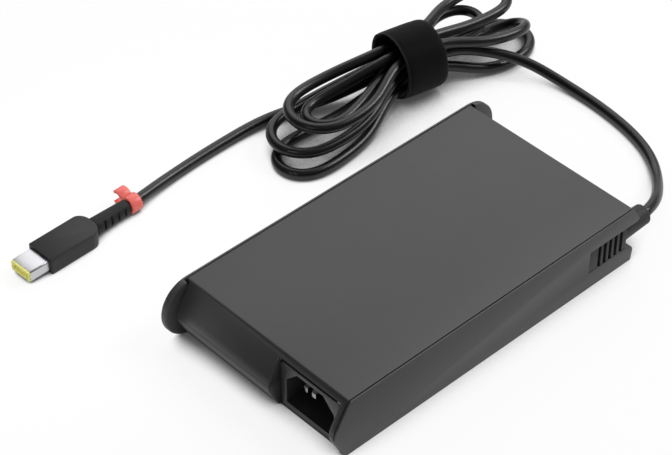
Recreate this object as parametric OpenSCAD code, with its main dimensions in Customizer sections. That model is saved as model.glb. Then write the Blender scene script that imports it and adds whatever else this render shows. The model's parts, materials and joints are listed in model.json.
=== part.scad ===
// Slim power adapter for a laptop: a two-part case with a mains inlet at one end, a ribbed
// strain relief for the output cord at the other, the cord with its hank, strap and plug.
// Millimetres. Z is up, the base is at z = 0, and the case is centred on X and Y.
// The mains inlet is at the -X end and the cord leaves the +X end beside the near (-Y) side.

/* [Case] */
// Length over the two round ears of the far side
ear_span = 170.6; // [166:0.2:190]
// Length over the rounded ends of the body
body_l = 160.2; // [156:0.2:164]
// Width over the two long side faces
case_w = 87.4; // [84:0.2:100]
// Height of the case
case_h = 25.4; // [24:0.2:30]
// Wall thickness of the cover and the base
wall = 2.2; // [1.8:0.1:2.6]
// Thickness of each long side wall
cheek_t = 3; // [2.8:0.1:4]
// Radius of the nose of each rounded end
nose_r = 7.5; // [6.5:0.1:8.5]
// Height of the nose centre, where the two halves of the case meet
nose_z = 11.6; // [11:0.1:12.6]
// Distance from the nose tip back to the top edge of the end
top_setback = 6.9; // [6:0.1:8]
// Distance from the nose tip back to the bottom edge of the end
base_setback = 4.9; // [4:0.1:6]
// Rounding of the top and bottom end edges
edge_r = 1.2; // [0.8:0.1:1.6]
// Chamfer of the rim of the far side wall
ear_cut = 0.5; // [0.3:0.1:0.8]
// Width of the shadow groove beside the cover
groove_w = 0.5; // [0.3:0.1:0.8]
// Depth of the shadow groove beside the cover
groove_d = 1.2; // [0.8:0.1:1.6]
// Width of the rim outside the groove on the near side
near_rim = 0.6; // [0.4:0.1:0.9]
// Width of the rim outside the groove on the far side
far_rim = 1.2; // [0.8:0.1:1.4]
// Clearance between parts that are pushed together
fit = 0.1; // [0.05:0.01:0.15]

/* [Mains inlet] */
// Distance from the nose tip back to the flat face of the inlet
inlet_setback = 5.7; // [5:0.1:6.4]
// Width of the inlet flange
flange_w = 30.9; // [30:0.1:33]
// Height of the inlet flange
flange_h = 21; // [20.6:0.1:21.4]
// Height of the underside of the flange above the base
flange_z = 0.9; // [0.7:0.1:1]
// Thickness of the flange
flange_t = 2; // [1.6:0.1:2.4]
// Gap between the flange and the near side wall
flange_gap = 0.6; // [0.4:0.1:1]
// Width of the socket cavity
socket_w = 24.5; // [24.4:0.1:25]
// Height of the socket cavity
socket_h = 16.7; // [16.6:0.1:17]
// Depth of the socket cavity
socket_depth = 16; // [15:0.5:18]
// Cut of the two upper corners of the socket cavity
socket_cut = 5.6; // [5:0.1:6]
// Wall round the socket cavity
socket_wall = 1; // [0.9:0.1:1.2]
// Height of the socket cavity's floor above the base
socket_z = 3.3; // [3.2:0.1:3.4]
// Distance between the line and neutral blades
blade_pitch = 14; // [14:0.1:14.2]
// Height of the earth blade above the other two
earth_rise = 4; // [3.8:0.1:4.2]
// Thickness of a blade
blade_t = 2; // [1.8:0.1:2.2]
// Width of a blade
blade_w = 4; // [3.8:0.1:4.2]
// Distance from the face back to the tips of line and neutral
blade_recess = 4.4; // [4:0.1:5]
// How far the earth blade stands in front of the other two
earth_lead = 2.6; // [2:0.1:3]
// Length of the solder tails behind the socket
tail_l = 5; // [4:0.5:6]

/* [Cord exit] */
// Distance from the nose tip back to the start of the strain relief channel
channel_setback = 30.7; // [28:0.1:33]
// Height of the channel floor above the base
channel_z = 7.8; // [7.4:0.1:8.2]
// Height of the channel
channel_h = 10.4; // [10:0.1:10.8]
// Depth of the channel from the near side face
channel_d = 10.4; // [10:0.1:11]
// Wall behind and round the channel
channel_wall = 1.6; // [1.2:0.1:2]
// Distance from the nose tip back to the end of the sill under the channel
sill_setback = 5.9; // [5.4:0.1:6.4]
// Corner radius at the end of the sill
sill_r = 3; // [2:0.1:3.5]
// Distance from the nose tip back to the end of the strip over the channel
roof_setback = 2.9; // [2.6:0.1:3.4]
// Corner radius at the end of the strip over the channel
roof_r = 2.5; // [1.5:0.1:3]
// Length of the plain pad of the strain relief
pad_l = 4.8; // [4:0.1:5.4]
// Number of slots across the strain relief
slot_count = 5; // [3:1:5]
// Distance from slot to slot
slot_pitch = 3; // [2.8:0.1:3.1]
// Width of one slot
slot_w = 1.5; // [1.2:0.1:1.7]
// Depth of the slots
slot_depth = 3.6; // [3:0.1:4]
// Diameter of the strain relief's round end
barrel_d = 9.4; // [9:0.1:9.6]
// Diameter at the cord end of the strain relief
barrel_tip_d = 8.4; // [7.4:0.1:9]
// How far the strain relief stands out beyond the nose tip
barrel_out = 4.8; // [4:0.1:5]

/* [Circuit board] */
// Height of the board's underside above the base
board_z = 5; // [4.6:0.1:5.4]
// Thickness of the circuit board
board_t = 1.6; // [1.2:0.1:1.8]
// Gap between the board and the side walls
board_gap = 1.4; // [1:0.1:2]
// Diameter of the posts that carry the board
post_d = 5; // [4:0.5:6]
// Thickness of the two metal heat spreaders
spreader_t = 0.8; // [0.5:0.1:1]
// Gap between a heat spreader and the case
spreader_gap = 0.4; // [0.2:0.1:0.6]
// Thickness of the insulation sheet
sheet_t = 0.3; // [0.2:0.1:0.4]
// Air gap over the tallest parts
air_gap = 0.6; // [0.4:0.1:1]

/* [Components] */
// Gap between neighbouring parts on the board
part_gap = 1.5; // [1:0.1:2]
// Diameter of the insulated wires inside the case
wire_d = 2; // [1.4:0.1:2.4]
// Length of the wires before they turn down to the board
wire_out = 4; // [3:0.5:5]
// Diameter of the fuse
fuse_d = 8.5; // [8:0.1:9]
// Height of the fuse
fuse_h = 8; // [7:0.5:10]
// Diameter of a Y capacitor
y_cap_d = 9; // [8:0.5:9.5]
// Thickness of a Y capacitor
y_cap_t = 4; // [3:0.5:5]
// Width of the X capacitor
x_cap_w = 9; // [7:0.5:10]
// Diameter of the common-mode choke over its windings
choke_d = 23; // [20:0.5:24]
// Radial thickness of the choke's core
choke_core_t = 4; // [3:0.5:5]
// Thickness of the choke's windings
winding_t = 1.5; // [1:0.1:1.8]
// Length of the bridge rectifier
bridge_l = 20; // [18:0.5:22]
// Thickness of the bridge rectifier and of the transistors
chip_t = 4; // [3:0.1:4.5]
// Diameter of the screw holes in the rectifier
chip_hole_d = 3.2; // [3:0.1:3.6]
// Size of the power factor inductor
pfc_l = 20; // [18:0.5:20]
// Diameter of the winding grooves of the power factor inductor
pfc_groove_d = 8; // [6:0.5:9]
// Depth of the rolled groove of a bulk capacitor
roll_d = 0.7; // [0.4:0.1:1]
// Width of the transformer's core
core_l = 30; // [28:0.5:31]
// Depth of the transformer's core
core_w = 26; // [24:0.5:27]
// Thickness of the core's outer walls
core_t = 3; // [2.4:0.1:3.4]
// Width of the core's middle leg
core_leg = 10; // [9:0.5:11]
// How far the winding stands out of the core at each end
winding_out = 4.5; // [3:0.5:5]
// Thickness of the heatsinks
sink_t = 1.5; // [1:0.1:2]
// Width of the heatsinks' folded lip
sink_lip = 5; // [4:0.5:6]
// Length of the secondary heatsink
sink_l = 34; // [30:1:36]
// Width of a transistor
chip_w = 10; // [9:0.1:10.4]
// Height of a transistor
chip_h = 10.5; // [9:0.1:11]
// Diameter of an output capacitor
out_cap_d = 8; // [6.3:0.1:8.5]
// Length of the control board
control_l = 22; // [18:1:24]
// Thickness of the control board
control_t = 1.2; // [0.8:0.1:1.6]

/* [Cord] */
// Diameter of the output cord
cord_d = 4.5; // [4.2:0.1:4.7]
// Diameter of the hank's strap
strap_d = 30; // [29.6:0.2:32]
// Thickness of one layer of the strap
strap_t = 0.85; // [0.7:0.05:0.9]
// Width of the strap
strap_w = 19; // [16:0.5:20]

/* [Plug] */
// Width of the plug's housing
plug_w = 14; // [13.4:0.1:16]
// Height of the plug's housing
plug_h = 7.4; // [7.2:0.1:8]
// Length of the plug's housing
plug_l = 25.5; // [24:0.5:27]
// Rounding of the plug's rear corners
plug_rear_r = 5.5; // [4.5:0.1:6]
// Rounding of the plug's long edges
plug_edge_r = 1; // [0.6:0.1:1.4]
// Width of the metal shell
shell_w = 11; // [10.8:0.1:11.2]
// Height of the metal shell
shell_h = 4.8; // [4.6:0.1:5]
// Wall of the metal shell
shell_t = 0.4; // [0.3:0.05:0.5]
// Length of the shell in front of the housing
shell_out = 9.2; // [8.6:0.1:10]
// How far the insulator stands out of the shell
insulator_out = 0.6; // [0.4:0.1:0.8]
// Width of the slot in the insulator
plug_slot_w = 8.4; // [8:0.1:8.6]
// Height of the slot in the insulator
plug_slot_h = 2.2; // [2:0.1:2.4]
// Diameter of the centre pin
pin_d = 1; // [0.8:0.1:1.2]
// Length of the strain relief behind the plug
boot_l = 17.2; // [16:0.2:18]
// Diameter of the boot beside the housing
boot_d = 7.2; // [6.8:0.1:7.4]
// Diameter of the boot's cord end
boot_tip_d = 6.2; // [5.8:0.1:6.6]

/* [Cord clip] */
// Width of the clip along the cord
clip_w = 5; // [4:0.1:6]
// Wall of the clip
clip_t = 1.2; // [1:0.1:1.3]
// Clearance between the clip's ring and the cord
clip_gap = 0.25; // [0.2:0.01:0.3]
// Bore of the claw that grips a second run of cord
claw_d = 4.4; // [4.2:0.1:4.6]
// Angle of the claw's mouth
claw_mouth = 100; // [90:2:120]
// Gap between the clip and the boot
clip_boot_gap = 0.6; // [0.4:0.1:1]

/* [Hidden] */
$fn = 64;
eps = 0.01;
far = 200;

// Case
half_l = body_l / 2;
half_w = case_w / 2;
ear_r = case_h / 2;
ear_x = ear_span / 2 - ear_r;
top_x = half_l - top_setback;
base_x = half_l - base_setback;
inner_corner = 0.6 * wall;
inner_corner_r = 0.4;
inner_y = half_w - cheek_t;
cover_near = half_w - near_rim - groove_w;
cover_far = half_w - far_rim - groove_w;
seam = 0.15;
web_t = 2.2;

// Inlet
face_x = -(half_l - inlet_setback);
flange_y0 = -inner_y + flange_gap;
pocket_y1 = flange_y0 + flange_w + 0.2;
flange_y = flange_y0 + flange_w / 2;
flange_corner_r = 2;
socket_y = flange_y0 + flange_w / 2 + 0.15;
socket_back = face_x + socket_depth;
blade_z = socket_z + 6.7;
body_back_t = 2;

// Cord exit
channel_x = half_l - channel_setback;
channel_top = channel_z + channel_h;
channel_y = -half_w + channel_d;
sill_x = half_l - sill_setback;
roof_x = half_l - roof_setback;
slots_x = channel_x + pad_l;
barrel_x = slots_x + slot_count * slot_pitch + 0.9;
barrel_end = half_l + barrel_out;
barrel_y = -half_w + channel_d / 2;
barrel_z = channel_z + channel_h / 2;

// Inside of the case
board_top = board_z + board_t;
spreader_top = case_h - wall - spreader_gap;
room = spreader_top - spreader_t - air_gap - board_top;
board_x = top_x - 4;
board_y = inner_y - board_gap;
inlet_clear_x = socket_back + body_back_t + tail_l + 1;
inlet_clear_y = pocket_y1 + 1.5;
exit_clear_x = channel_x - channel_wall - 3;
exit_clear_y = channel_y + channel_wall + 2;
post_x = board_x - 4;
post_y = board_y - 4;
edge_x = board_x - part_gap;
edge_y = board_y - part_gap;
part_h = room - 0.6;

// Places on the board: one chain from the inlet's end, one from the cord's end
tail_x = socket_back + body_back_t + tail_l;
start_x = tail_x + wire_out + wire_d / 2 + part_gap;
choke_x = -board_x + part_gap + choke_d / 2;
choke_y = edge_y - choke_d / 2;
x_cap_y0 = inlet_clear_y + part_gap;
x_cap_y1 = edge_y - choke_d - part_gap;
fuse_x = start_x + fuse_d / 2;
y_cap_x = fuse_x + fuse_d / 2 + part_gap;
pfc_x = start_x + pfc_l / 2 + 2 * part_gap;
pfc_y = edge_y - chip_t - part_gap - pfc_l / 2;
row_y = -edge_y + y_cap_d + part_gap;
out_cap_x = exit_clear_x - part_gap - out_cap_d / 2;
core_x = out_cap_x - 1.5 * out_cap_d - 2 * part_gap - core_l / 2;
core_y = edge_y - sink_lip - chip_t - part_gap - winding_out - core_w / 2;
bulk_d = room - 0.4;
bulk_l = core_x - core_l / 2 - part_gap - start_x;
sink_x = edge_x - sink_lip;
sink_y = exit_clear_y + part_gap;

// Plug, measured from the middle of the housing's front face at floor level
plug_pos = [-92.2, 106.6];
plug_yaw = 181.5;
axis_z = plug_h / 2;
clip_x = -plug_l - boot_l - clip_boot_gap;
ring_r = cord_d / 2 + clip_gap;
claw_r = claw_d / 2;
claw_x = ring_r + clip_t + claw_r + 0.4;

// Hank: nine runs pass through the strap in a grid of three by three
hank_pos = [86.4, 89.8];
hank_yaw = -3;
strap_pos = [86.6, 89.4];
strap_yaw = -12;
strap_r = strap_d / 2;
grid = 5.8;
grid_z = 14.4;
run_l = 12;
rest_z = cord_d / 2 + 0.05;
// One row for each turn: side, first run, second run, reach, half width, sideways shift,
// height, tilt, how fast it widens and how fast it sinks
turns = [
    [-1, [-1, 1], [1, 1], 72, 13.8, -2, 7.4, 0, 0.9, 0.75],
    [1, [1, 1], [0, 1], 46, 9.2, 8, 11.7, 0, 0.8, 0.6],
    [-1, [0, 1], [0, 2], 56, 9.2, -2, 11.3, -0.6, 0.6, 0.6],
    [1, [0, 2], [1, 2], 60, 9.4, 7, 17.1, 0, 0.85, 0.85],
    [-1, [1, 2], [-1, 2], 63, 14, -2, 15.2, 0, 0.85, 0.75],
    [1, [-1, 2], [0, 0], 56.5, 9.2, -8, 11, -4.8, 0.8, 0.6],
    [-1, [0, 0], [-1, 0], 76, 11.5, -9, 2.3, 0, 0.75, 1],
    [1, [-1, 0], [1, 0], 62, 13, -4, 2.3, 0, 0.85, 0.85]
];
// Route from the strain relief to the hank, and from the hank to the plug
exit_route = [
    [90, -38.3, 12.8], [98, -34.4, 10.2], [106, -28.7, 6.8], [113, -22.6, 4], [119, -16.5, 2.6],
    [124, -9, 2.3], [127.5, -0.5, 2.3], [130, 9, 2.3], [131.5, 19, 2.3], [132.5, 29, 2.3],
    [132.6, 39, 2.5], [131.6, 48.5, 3.6], [129, 57.5, 6.2], [124.5, 66, 8.8], [118, 73.2, 10.8],
    [110, 79.6, 13]
];
plug_route = [
    [64, 99.6, 6], [54, 103.6, 3.4], [43, 108.2, 2.3], [32, 111.4, 2.3], [20, 112.8, 2.3],
    [8, 112.8, 2.3], [-4, 112.5, 2.3], [-15, 111.9, 2.3], [-26, 110.9, 2.5], [-35, 109.5, 3.2]
];

case_colour = [0.33, 0.33, 0.33];
cord_colour = [0.13, 0.13, 0.13];
metal = [0.78, 0.79, 0.8];

// ---- outlines -------------------------------------------------------------------------

// Direction of the outward normal of the line that touches circles a and b, going round
// anticlockwise; each circle is [x, y, radius]
function touch_angle(a, b) =
    atan2(b[1] - a[1], b[0] - a[0]) - acos((a[2] - b[2]) / norm([b[0] - a[0], b[1] - a[1]]));
function touch_point(c, angle) = [c[0] + c[2] * cos(angle), c[1] + c[2] * sin(angle)];

// Outline of a belt pulled tight round circles that are listed anticlockwise
module belt(circles) {
    n = len(circles);
    polygon([
        for (i = [0 : n - 1])
            let (
                before = circles[(i + n - 1) % n],
                here = circles[i],
                after = circles[(i + 1) % n]
            )
            each [
                touch_point(here, touch_angle(before, here)),
                touch_point(here, touch_angle(here, after))
            ]
    ]);
    for (c = circles)
        translate([c[0], c[1]]) circle(c[2]);
}

// The case from the side: flat top and base with a nose at each end, drawn t inside
module case_profile(t = 0) {
    corner_r = t > 0 ? inner_corner_r : edge_r;
    shift = inner_corner * t / wall;
    right = [
        [base_x - shift - corner_r * 0.6, t + corner_r, corner_r],
        [half_l - nose_r, nose_z, nose_r - t],
        [top_x - shift - corner_r * 0.6, case_h - t - corner_r, corner_r]
    ];
    left = [for (i = [2 : -1 : 0]) [-right[i][0], right[i][1], right[i][2]]];
    belt(concat(right, left));
}

// A side-on outline made solid between two values of Y
module slab(y0, y1) {
    translate([0, y1, 0]) rotate([90, 0, 0]) linear_extrude(y1 - y0) children();
}

module box(low, high) {
    translate(low) cube(high - low);
}

// Rectangle with rounded corners, centred
module round_rect(w, h, r) {
    belt([
        [w / 2 - r, h / 2 - r, r], [-w / 2 + r, h / 2 - r, r],
        [-w / 2 + r, -h / 2 + r, r], [w / 2 - r, -h / 2 + r, r]
    ]);
}

// ---- case -----------------------------------------------------------------------------

// Space taken out of one end for the inlet, in front of its face and round its flange
module inlet_space() {
    box([-far, flange_y0 - 0.2, -1], [face_x, pocket_y1, case_h + 1]);
    box([face_x - eps, flange_y0 - fit, flange_z - fit],
        [face_x + flange_t + fit, flange_y0 + flange_w + fit, flange_z + flange_h + fit]);
    box([face_x, flange_y0 + 1.5, wall - eps], [0, inlet_clear_y - 2.5, case_h - wall]);
}

// Space taken out of the other end for the strain relief
module exit_space() {
    box([channel_x, -half_w - 1, channel_z], [far, channel_y, channel_top]);
    difference() {
        box([roof_x - roof_r, -half_w - 1, channel_top - eps], [far, channel_y, channel_top + roof_r]);
        translate([roof_x - roof_r, 0, channel_top + roof_r]) rotate([90, 0, 0])
            cylinder(r = roof_r, h = far, center = true);
    }
    difference() {
        box([sill_x - sill_r, -half_w - 1, -1], [far, channel_y, channel_z + eps]);
        slab(-half_w - 2, channel_y + 1)
            belt([
                [sill_x - sill_r, channel_z - sill_r, sill_r],
                [sill_x - 2 * sill_r - 1, channel_z - sill_r, sill_r],
                [sill_x - 2 * sill_r - 1, -1, 1],
                [sill_x - 1.8, -1, 1]
            ]);
    }
}

// Box that shuts the strain relief's channel off from the inside of the case
module channel_box() {
    intersection() {
        box([channel_x - channel_wall, -inner_y - eps, wall - eps],
            [far, channel_y + channel_wall, channel_top + channel_wall]);
        slab(-half_w, 0) case_profile(wall + seam);
    }
}

// Plate that closes the rounded end beside the inlet
module inlet_web() {
    slab(pocket_y1, pocket_y1 + web_t)
        intersection() {
            case_profile();
            translate([-far, 0]) square([far - top_x + 4, case_h]);
        }
}

// Plate that closes the rounded end above the strain relief's channel box
module exit_web() {
    slab(channel_y, channel_y + channel_wall)
        intersection() {
            case_profile();
            translate([top_x - 4, channel_top + channel_wall + fit]) square(far);
        }
}

// Half of the far wall's cross-section: w from the middle to the rim, t thick, chamfered
module rim_section(w, t, cut) {
    polygon([[0, 0], [w - cut, 0], [w, cut], [w, t - cut], [w - cut, t], [0, t]]);
}

// Full-radius side wall with a chamfered rim, standing proud of the body at both ends
module far_cheek() {
    for (side = [-1, 1])
        translate([side * ear_x, half_w - cheek_t, ear_r]) rotate([-90, 0, 0])
            rotate_extrude($fn = 96) rim_section(ear_r, cheek_t, ear_cut);
    translate([-ear_x, half_w - cheek_t, ear_r]) rotate([90, 0, 90])
        linear_extrude(2 * ear_x)
            for (up = [0, 1])
                mirror([0, up]) rotate([0, 0, 90]) mirror([0, 1])
                    rim_section(ear_r, cheek_t, ear_cut);
}

// Side wall that follows the body, with a step that carries the cover
module near_cheek() {
    slab(-half_w, -half_w + near_rim) case_profile();
    slab(-half_w + near_rim - eps, -cover_near + eps) case_profile(groove_d);
    slab(-cover_near, -inner_y) case_profile(wall + fit);
}

module bottom_case() {
    color(case_colour)
    difference() {
        union() {
            difference() {
                intersection() {
                    slab(-cover_near, half_w - cheek_t + eps) case_profile();
                    box([-far, -far, -1], [far, far, nose_z]);
                }
                slab(-inner_y, inner_y) case_profile(wall);
            }
            near_cheek();
            far_cheek();
            intersection() {
                inlet_web();
                box([-far, -far, -1], [far, far, nose_z]);
            }
            channel_box();
            for (sx = [-1, 1])
                translate([sx * post_x, post_y, wall - eps])
                    cylinder(d = post_d, h = board_z - wall + eps);
            for (sx = [-0.45, 0.4])
                translate([sx * post_x, -post_y, wall - eps])
                    cylinder(d = post_d, h = board_z - wall + eps);
        }
        inlet_space();
        exit_space();
        // step that carries the cover's far edge
        box([-top_x - 1.4, inner_y - eps, case_h - wall - fit],
            [top_x + 1.4, half_w - far_rim, case_h + 1]);
    }
}

module top_cover() {
    color(case_colour)
    difference() {
        union() {
            difference() {
                intersection() {
                    slab(-cover_near, inner_y - seam) case_profile();
                    box([-far, -far, nose_z + seam], [far, far, case_h + 1]);
                }
                slab(-cover_near - 1, inner_y) case_profile(wall);
            }
            intersection() {
                slab(inner_y - 1, cover_far) case_profile();
                box([-top_x, -far, case_h - wall], [top_x, far, case_h + 1]);
            }
            intersection() {
                inlet_web();
                box([-far, -far, nose_z + seam], [far, far, case_h + 1]);
            }
            exit_web();
        }
        inlet_space();
        exit_space();
    }
}

// ---- mains inlet ----------------------------------------------------------------------

// Outline of the socket cavity seen from the front, grown by g
module socket_outline(g = 0) {
    w = socket_w / 2 + g;
    cut = socket_cut + g * 0.4;
    polygon([
        [-w, -g], [w, -g], [w, socket_h + g - cut],
        [w - cut, socket_h + g], [-w + cut, socket_h + g], [-w, socket_h + g - cut]
    ]);
}

// Turns an outline drawn as (across, up) into a solid that runs back from x0 to x1
module run_back(x0, x1) {
    translate([x0, 0, 0]) rotate([90, 0, 90]) linear_extrude(x1 - x0) children();
}

module inlet_housing() {
    color([0.3, 0.3, 0.3])
    difference() {
        union() {
            run_back(face_x, face_x + flange_t)
                translate([flange_y, flange_z + flange_h / 2])
                    round_rect(flange_w, flange_h, flange_corner_r);
            run_back(face_x + flange_t - eps, socket_back + body_back_t)
                translate([socket_y, socket_z]) socket_outline(socket_wall);
        }
        run_back(face_x - 1, socket_back)
            translate([socket_y, socket_z]) socket_outline();
        for (b = [[-1, 0], [0, 1], [1, 0]])
            translate([socket_back, socket_y + b[0] * blade_pitch / 2, blade_z + b[1] * earth_rise])
                cube([4 * body_back_t, blade_t, blade_w], center = true);
    }
}

// Flat blade with a bevelled tip and a narrower solder tail
module blade(across, rise, lead) {
    tip = face_x + blade_recess - lead;
    translate([0, socket_y + across, blade_z + rise]) {
        rotate([90, 0, 0])
            translate([0, 0, -blade_t / 2]) linear_extrude(blade_t)
                polygon([
                    [tip, -blade_w / 2 + 1], [tip + 1, -blade_w / 2],
                    [socket_back + body_back_t, -blade_w / 2],
                    [socket_back + body_back_t, blade_w / 2],
                    [tip + 1, blade_w / 2], [tip, blade_w / 2 - 1]
                ]);
        translate([socket_back + body_back_t - eps, -blade_t / 4, -blade_w / 4])
            cube([tail_l, blade_t / 2, blade_w / 2]);
    }
}

module line_blade() { color(metal) blade(blade_pitch / 2, 0, 0); }
module neutral_blade() { color(metal) blade(-blade_pitch / 2, 0, 0); }
module earth_blade() { color(metal) blade(0, earth_rise, earth_lead); }

// Wire from a solder tail out and down to the board
module drop_wire(across, rise) {
    y = socket_y + across;
    z = blade_z + rise;
    translate([tail_x, y, z]) rotate([0, 90, 0]) cylinder(d = wire_d, h = wire_out);
    translate([tail_x + wire_out, y, board_top])
        cylinder(d = wire_d, h = z + wire_d / 2 - board_top);
}

module power_wires() {
    color([0.45, 0.25, 0.12]) for (s = [-1, 1]) drop_wire(s * blade_pitch / 2, 0);
}

module earth_wire() {
    color([0.35, 0.6, 0.15]) drop_wire(0, earth_rise);
}

// ---- board and what it carries --------------------------------------------------------

module circuit_board() {
    color([0.1, 0.38, 0.2])
    difference() {
        box([-board_x, -board_y, board_z], [board_x, board_y, board_top]);
        box([-far, -far, board_z - 1], [tail_x + wire_out / 2, inlet_clear_y, board_top + 1]);
        box([exit_clear_x, -far, board_z - 1], [far, exit_clear_y, board_top + 1]);
    }
}

module insulation_sheet() {
    color([0.93, 0.9, 0.75])
    box([inlet_clear_x, -post_y + post_d, wall + spreader_gap + spreader_t],
        [post_x - post_d, post_y - post_d, wall + spreader_gap + spreader_t + sheet_t]);
}

module bottom_heat_spreader() {
    color(metal)
    box([inlet_clear_x, -post_y + post_d, wall + spreader_gap],
        [post_x - post_d, post_y - post_d, wall + spreader_gap + spreader_t]);
}

module top_heat_spreader() {
    color(metal)
    difference() {
        box([-edge_x, -edge_y, spreader_top - spreader_t], [edge_x, edge_y, spreader_top]);
        box([-far, -far, 0], [tail_x, inlet_clear_y, far]);
        box([exit_clear_x, -far, 0], [far, exit_clear_y, far]);
    }
}

// Standing on the board at [x, y]
module on_board(x, y) {
    translate([x, y, board_top]) children();
}

module fuse() {
    color([0.12, 0.12, 0.12])
    on_board(fuse_x, -edge_y + fuse_d / 2) cylinder(d = fuse_d, h = fuse_h);
}

module x_capacitor() {
    color([0.85, 0.7, 0.2])
    on_board(-edge_x, x_cap_y0) cube([x_cap_w, x_cap_y1 - x_cap_y0, part_h]);
}

module y_capacitors() {
    color([0.15, 0.35, 0.75])
    for (i = [0, 1])
        on_board(y_cap_x + i * (y_cap_t + part_gap), -edge_y + y_cap_d / 2)
            translate([0, 0, y_cap_d / 2]) rotate([0, 90, 0]) cylinder(d = y_cap_d, h = y_cap_t);
}

// Ring section of the choke's core, grown by g
module core_section(g = 0) {
    translate([choke_d / 2 - winding_t - choke_core_t - g, winding_t - g])
        square([choke_core_t + 2 * g, part_h - 2 * winding_t + 2 * g]);
}

module choke_core() {
    color([0.25, 0.26, 0.28]) on_board(choke_x, choke_y) rotate_extrude() core_section();
}

module choke_windings() {
    color([0.72, 0.4, 0.15]) on_board(choke_x, choke_y)
        for (start = [20, 200])
            rotate([0, 0, start]) rotate_extrude(angle = 140)
                difference() {
                    core_section(winding_t);
                    core_section(fit);
                }
}

module bridge_rectifier() {
    color([0.12, 0.12, 0.12]) on_board(start_x + 2 * part_gap, edge_y - chip_t)
        difference() {
            cube([bridge_l, chip_t, part_h - 1]);
            translate([bridge_l / 2, -1, part_h - 1.5 * chip_hole_d])
                rotate([-90, 0, 0]) cylinder(d = chip_hole_d, h = chip_t + 2);
        }
}

module pfc_inductor() {
    color([0.3, 0.3, 0.33]) on_board(pfc_x, pfc_y)
        difference() {
            translate([-pfc_l / 2, -pfc_l / 2, 0]) cube([pfc_l, pfc_l, part_h]);
            for (s = [-1, 1])
                translate([s * pfc_l / 2, 0, -1]) cylinder(d = pfc_groove_d, h = part_h + 2);
        }
}

// Lying capacitor with a rolled groove near its sealed end
module bulk_capacitor() {
    rotate([0, 90, 0]) {
        cylinder(d = bulk_d, h = 3 * roll_d);
        cylinder(d = bulk_d - 2 * roll_d, h = 6 * roll_d);
        translate([0, 0, 5 * roll_d]) cylinder(d = bulk_d, h = bulk_l - 5 * roll_d);
    }
}

module bulk_capacitors() {
    color([0.1, 0.1, 0.12])
    for (i = [0, 1])
        on_board(start_x, row_y + (i + 0.5) * bulk_d + i * part_gap / 2)
            translate([0, 0, bulk_d / 2]) bulk_capacitor();
}

// Upright sheet with a lip folded along its top, as long as l
module heatsink(l) {
    cube([l, sink_t, part_h]);
    translate([0, sink_t - sink_lip, part_h - sink_t]) cube([l, sink_lip, sink_t]);
}

module transistor() {
    cube([chip_w, chip_t, chip_h]);
}

module primary_heatsink() {
    color([0.6, 0.61, 0.63])
    on_board(core_x - core_l / 2, edge_y - sink_t) heatsink(core_l);
}

module primary_transistors() {
    color([0.14, 0.14, 0.15])
    for (i = [0, 1])
        on_board(core_x - chip_w - part_gap + i * (chip_w + 2 * part_gap),
            edge_y - sink_t - chip_t)
            transistor();
}

module transformer_core() {
    color([0.22, 0.22, 0.24]) on_board(core_x, core_y)
        difference() {
            translate([-core_l / 2, -core_w / 2, 0]) cube([core_l, core_w, part_h]);
            for (s = [0, 1])
                mirror([s, 0, 0])
                    box([core_leg / 2, -core_w, core_t],
                        [core_l / 2 - core_t, core_w, part_h - core_t]);
        }
}

module transformer_winding() {
    color([0.9, 0.75, 0.2]) on_board(core_x, core_y)
        translate([0, 0, core_t + fit]) linear_extrude(part_h - 2 * core_t - 2 * fit)
            difference() {
                round_rect(core_l - 2 * core_t - 2 * fit, core_w + 2 * winding_out, winding_out);
                square([core_leg + 2 * fit, core_w + 2 * fit], center = true);
            }
}

module secondary_heatsink() {
    color([0.6, 0.61, 0.63])
    on_board(sink_x + sink_t, sink_y) rotate([0, 0, 90]) mirror([0, 1, 0])
        translate([0, -sink_t, 0]) heatsink(sink_l);
}

module rectifier_transistors() {
    color([0.14, 0.14, 0.15])
    for (i = [0, 1])
        on_board(sink_x, sink_y + 3 * part_gap + i * (chip_w + 2 * part_gap))
            rotate([0, 0, 90]) transistor();
}

module output_capacitors() {
    color([0.16, 0.2, 0.45])
    for (i = [0, 1])
        for (j = [0, 1])
            on_board(out_cap_x - i * (out_cap_d + part_gap),
                row_y + out_cap_d / 2 + j * (out_cap_d + part_gap))
                cylinder(d = out_cap_d, h = part_h);
}

module control_board() {
    color([0.12, 0.42, 0.24])
    on_board(exit_clear_x - part_gap - control_l, -edge_y) cube([control_l, control_t, part_h]);
}

module output_wires() {
    color([0.12, 0.12, 0.13])
    for (s = [-1, 1]) {
        z = barrel_z + s * (wire_d + fit) / 2;
        x = exit_clear_x + wire_d / 2 + (s + 1) / 2 * fit;
        y = exit_clear_y + part_gap + (1 - s) * wire_d;
        translate([x - wire_d / 2, barrel_y, z]) rotate([0, 90, 0])
            cylinder(d = wire_d, h = channel_x - channel_wall - fit - x + wire_d / 2);
        translate([x, barrel_y, z]) rotate([-90, 0, 0]) cylinder(d = wire_d, h = y - barrel_y);
        translate([x, y, board_top]) cylinder(d = wire_d, h = z + wire_d / 2 - board_top);
    }
}

// ---- cord exit ------------------------------------------------------------------------

module output_strain_relief() {
    color(cord_colour)
    difference() {
        union() {
            box([channel_x + fit, -half_w + fit, channel_z + fit],
                [barrel_x, channel_y - fit, channel_top - fit]);
            translate([barrel_x - eps, barrel_y, barrel_z]) rotate([0, 90, 0])
                cylinder(d1 = barrel_d, d2 = barrel_tip_d, h = barrel_end - barrel_x + eps);
        }
        for (i = [0 : slot_count - 1])
            box([slots_x + i * slot_pitch, -half_w - 1, channel_z],
                [slots_x + i * slot_pitch + slot_w, -half_w + slot_depth, channel_top]);
    }
}

// ---- cord -----------------------------------------------------------------------------

function unit(v) = v / norm(v);
function last(v) = v[len(v) - 1];
function turned(v, angle) =
    [v[0] * cos(angle) - v[1] * sin(angle), v[0] * sin(angle) + v[1] * cos(angle)];
function blend(a, b, k) = a * (1 - k) + b * k;

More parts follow.
